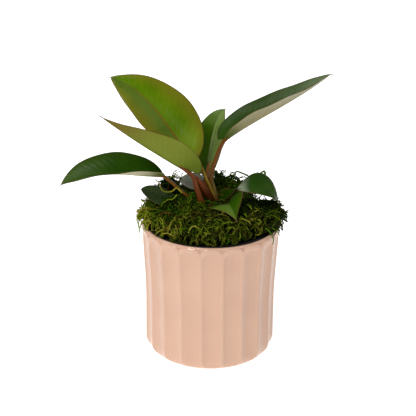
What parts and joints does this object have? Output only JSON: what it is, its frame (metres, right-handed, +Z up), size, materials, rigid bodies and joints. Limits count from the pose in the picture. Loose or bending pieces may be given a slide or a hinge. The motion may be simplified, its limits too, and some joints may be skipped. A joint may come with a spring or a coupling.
{
  "type": "potted red congo philodendron",
  "caption": "Young broad-leaved houseplant with red-brown stalks, dressed with moss, in a ribbed pink glazed pot.",
  "frame": {"origin": "centre of the glazed pot's flat underside, on the surface it rests on", "axes": "+Z up along the pot's axis; +X towards the right of the picture; the picture's camera looks along +Y and down"},
  "size_m": [0.2392, 0.1364, 0.278],
  "materials": {
    "pot_glaze": "blush-pink glossy glaze with a few fine dark speckles",
    "grower_plastic": "black, slightly glossy moulded plastic",
    "potting_mix": "damp dark brown peat and bark",
    "moss": "dyed sheet moss, olive, yellow-green and dark green strands",
    "crown_skin": "red-brown stem, slightly glossy",
    "petiole_skin": "glossy red-brown stalks with olive middles",
    "sheath_skin": "papery red-orange to olive sheaths",
    "young_blade": "glossy lime-green young leaf with bronze towards its edge, red-brown margin",
    "mature_blade": "glossy dark green leaf, pale beige-green underside"
  },
  "bodies": {
    "root": {"glazed_pot": "pot_glaze", "grower_pot": "grower_plastic", "potting_mix": "potting_mix", "moss": "moss", "crown": "crown_skin", "petiole_upper_left": "petiole_skin", "petiole_front_left": "petiole_skin", "petiole_long_right": "petiole_skin", "petiole_upright_back": "petiole_skin", "petiole_long_left": "petiole_skin", "petiole_low_left": "petiole_skin", "petiole_small_back": "petiole_skin", "petiole_low_front": "petiole_skin", "petiole_low_middle": "petiole_skin", "petiole_low_right": "petiole_skin", "sheath_tall": "sheath_skin", "sheath_front": "sheath_skin", "sheath_short": "sheath_skin", "blade_upper_left": "young_blade", "blade_front_left": "young_blade", "blade_long_right": "mature_blade", "blade_upright_back": "mature_blade", "blade_long_left": "mature_blade", "blade_low_left": "mature_blade", "blade_small_back": "mature_blade", "blade_low_front": "mature_blade", "blade_low_middle": "mature_blade", "blade_low_right": "mature_blade"}
  },
  "joints": []
}
